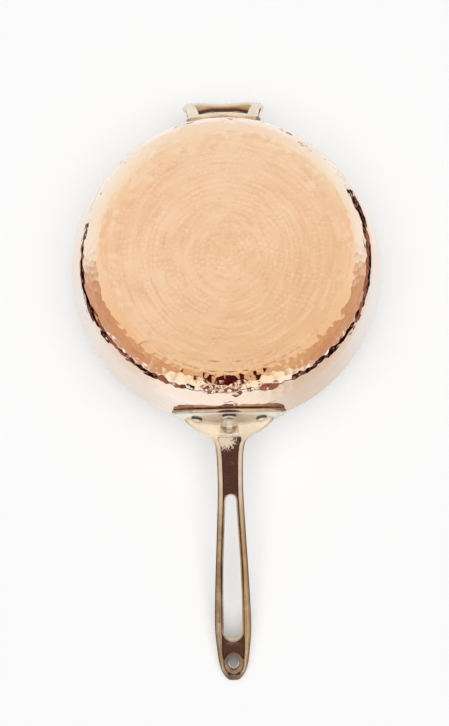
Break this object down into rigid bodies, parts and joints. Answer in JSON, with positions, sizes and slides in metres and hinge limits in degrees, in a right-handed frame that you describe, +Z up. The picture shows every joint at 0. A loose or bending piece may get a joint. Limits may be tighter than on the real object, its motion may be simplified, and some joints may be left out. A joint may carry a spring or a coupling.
{
  "type": "saucepan",
  "caption": "Shallow round copper pan with a flared wall, a bright tin lining, a long slotted cast handle with a hanging hole, and a looped helper handle, all riveted on.",
  "frame": {"origin": "centre of the base's underside, where the pan stands on a hob or a table", "axes": "+Z up out of the pan's mouth; the long handle points along -Y and the helper handle along +Y; +X is to the right of someone holding the long handle"},
  "size_m": [0.2796, 0.5327, 0.1107],
  "materials": {
    "copper": null,
    "tin": null,
    "cast_handle": "cast brass, polished on its edges and dark in its recesses",
    "rivet": "copper alloy rivet, smooth"
  },
  "bodies": {
    "root": {"copper_body": "copper", "tin_lining": "tin", "long_handle": "cast_handle", "helper_handle": "cast_handle", "handle_rivet_left": "rivet", "handle_rivet_right": "rivet", "handle_rivet_centre": "rivet", "helper_rivet_left": "rivet", "helper_rivet_right": "rivet"}
  },
  "joints": []
}
